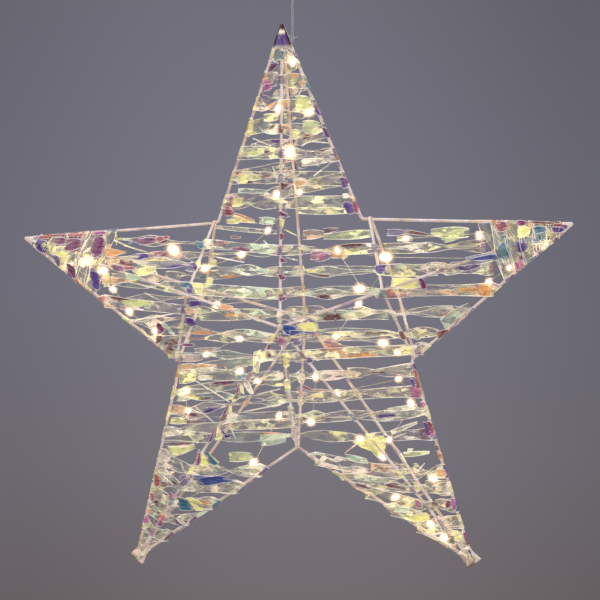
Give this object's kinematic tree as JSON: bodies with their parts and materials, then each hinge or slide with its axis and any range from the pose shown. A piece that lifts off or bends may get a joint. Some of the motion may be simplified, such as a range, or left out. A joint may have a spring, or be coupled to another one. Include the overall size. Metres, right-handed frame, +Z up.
{
  "type": "led christmas star",
  "caption": "Five-pointed wire-frame star wound with clear film ribbon and a string of small lights, hanging on a thin line.",
  "frame": {"origin": "the inside of the hanging line's loop, where the hook holds it", "axes": "+Z up along the hanging line; the star lies in the XZ plane with its front towards -Y; its middle hangs 363 mm below the origin"},
  "size_m": [0.5709, 0.1136, 0.6204],
  "materials": {
    "wire": "satin",
    "film": "gloss, clear with shifting colours",
    "lights": "clear lights on a thin lacquered wire",
    "line": "clear"
  },
  "bodies": {
    "line": {"hanging_line": "line"},
    "star": {"back_hub_weld": "wire", "back_rib_left_lower": "wire", "back_rib_left_upper": "wire", "back_rib_right_lower": "wire", "back_rib_right_upper": "wire", "back_ridge_left": "wire", "back_ridge_lower_left": "wire", "back_ridge_lower_right": "wire", "back_ridge_right": "wire", "back_ridge_top": "wire", "back_valley_wire": "wire", "film_body_1": "film", "film_body_2": "film", "film_body_3": "film", "film_body_4": "film", "film_cap_lower_left": "film", "film_cap_lower_right": "film", "film_cap_top": "film", "film_left_tip": "film", "film_lower_left_arm": "film", "film_lower_right_arm": "film", "film_right_tip": "film", "film_top_arm": "film", "front_hub_weld": "wire", "front_rib_left_lower": "wire", "front_rib_left_upper": "wire", "front_rib_right_lower": "wire", "front_rib_right_upper": "wire", "front_ridge_left": "wire", "front_ridge_lower_left": "wire", "front_ridge_lower_right": "wire", "front_ridge_right": "wire", "front_ridge_top": "wire", "front_valley_wire": "wire", "led_string": "lights", "line_noose": "line", "outline_left_lower": "wire", "outline_left_upper": "wire", "outline_lower_left_inner": "wire", "outline_lower_left_outer": "wire", "outline_lower_right_inner": "wire", "outline_lower_right_outer": "wire", "outline_right_lower": "wire", "outline_right_upper": "wire", "outline_top_left": "wire", "outline_top_right": "wire", "tip_weld_left": "wire", "tip_weld_lower_left": "wire", "tip_weld_lower_right": "wire", "tip_weld_right": "wire", "tip_weld_top": "wire"}
  },
  "joints": [
    {"name": "star_turn", "type": "hinge", "parent": "line", "child": "star", "pos_m": [0, 0, -0.0787], "axis": [0, 0, 1], "continuous": true}
  ]
}
